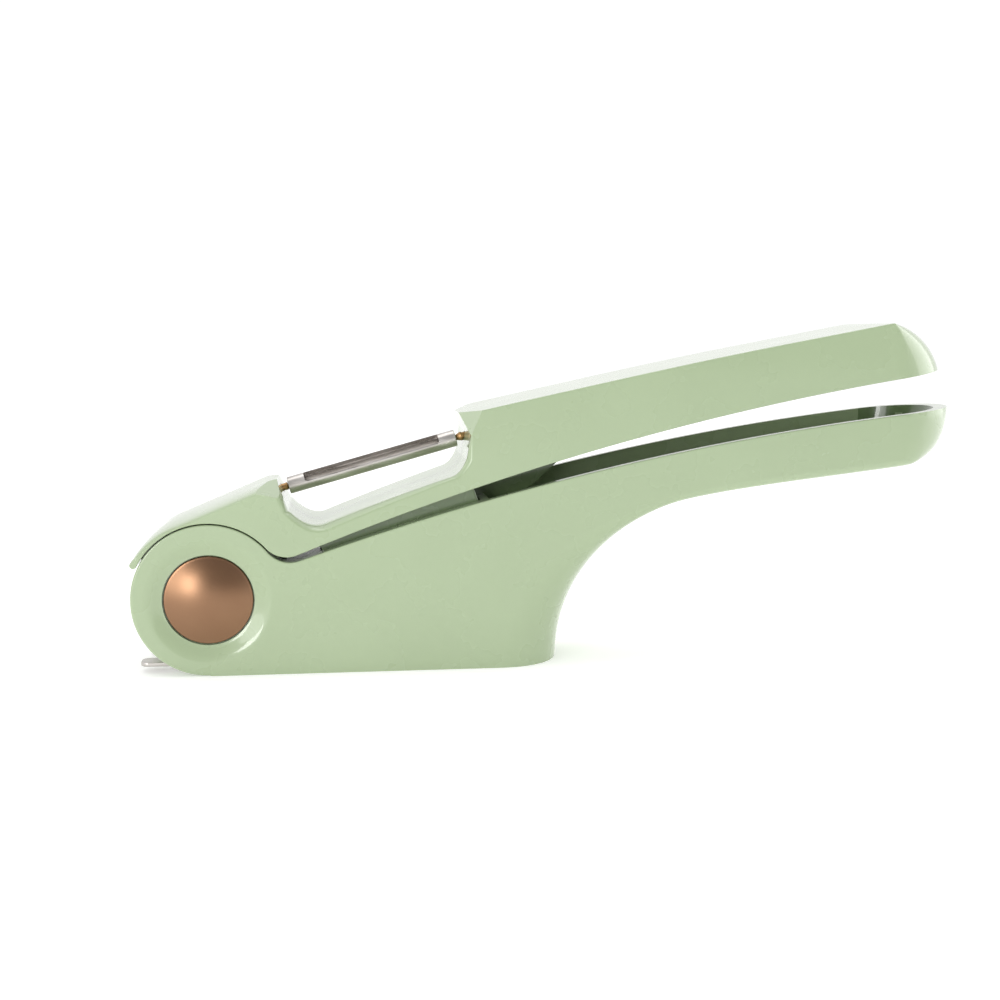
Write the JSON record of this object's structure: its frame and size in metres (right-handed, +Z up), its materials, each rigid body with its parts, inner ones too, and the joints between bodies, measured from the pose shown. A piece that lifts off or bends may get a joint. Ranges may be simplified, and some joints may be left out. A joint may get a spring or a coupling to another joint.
{
  "type": "garlic press",
  "caption": "Lever garlic press in glossy pale green with bronze hinge caps, a slide-out sieve plate and a swivelling peeler blade set in the upper handle.",
  "frame": {"origin": "middle of the bounding box, on the plane the press rests on", "axes": "+X from the hinge towards the handle tips, +Y across the press along the hinge axis, +Z up"},
  "size_m": [0.2086, 0.035, 0.0848],
  "materials": {
    "body_enamel": "gloss",
    "lever_enamel": "gloss",
    "plunger_enamel": "gloss",
    "sieve_steel": "satin",
    "blade_steel": "polished",
    "pin_steel": "satin",
    "cap_bronze": "polished bronze",
    "blade_pin_brass": "satin",
    "bearing_nylon": "moulded"
  },
  "bodies": {
    "body": {"lower_body": "body_enamel", "hinge_pin": "pin_steel", "hinge_screw": "pin_steel", "hinge_cap_near": "cap_bronze", "hinge_cap_far": "cap_bronze", "thrust_washer_near": "bearing_nylon", "thrust_washer_far": "bearing_nylon"},
    "lever": {"upper_handle": "lever_enamel", "plunger": "plunger_enamel", "hub_bush_near": "bearing_nylon", "hub_bush_far": "bearing_nylon", "blade_pin_front": "blade_pin_brass", "blade_pin_rear": "blade_pin_brass"},
    "blade": {"peeler_blade": "blade_steel"},
    "sieve": {"sieve_plate": "sieve_steel"}
  },
  "joints": [
    {"name": "lever_hinge", "type": "hinge", "parent": "body", "child": "lever", "pos_m": [-0.0859, 0, 0.0184], "axis": [0, -1, 0], "range_deg": [-2.8, 70]},
    {"name": "blade_swivel", "type": "hinge", "parent": "lever", "child": "blade", "pos_m": [-0.0457, 0, 0.0501], "axis": [0.9636, 0, 0.2672], "range_deg": [-98, 2]},
    {"name": "sieve_slide", "type": "slide", "parent": "body", "child": "sieve", "axis": [-1, 0, 0], "range_m": [0, 0.07]}
  ]
}
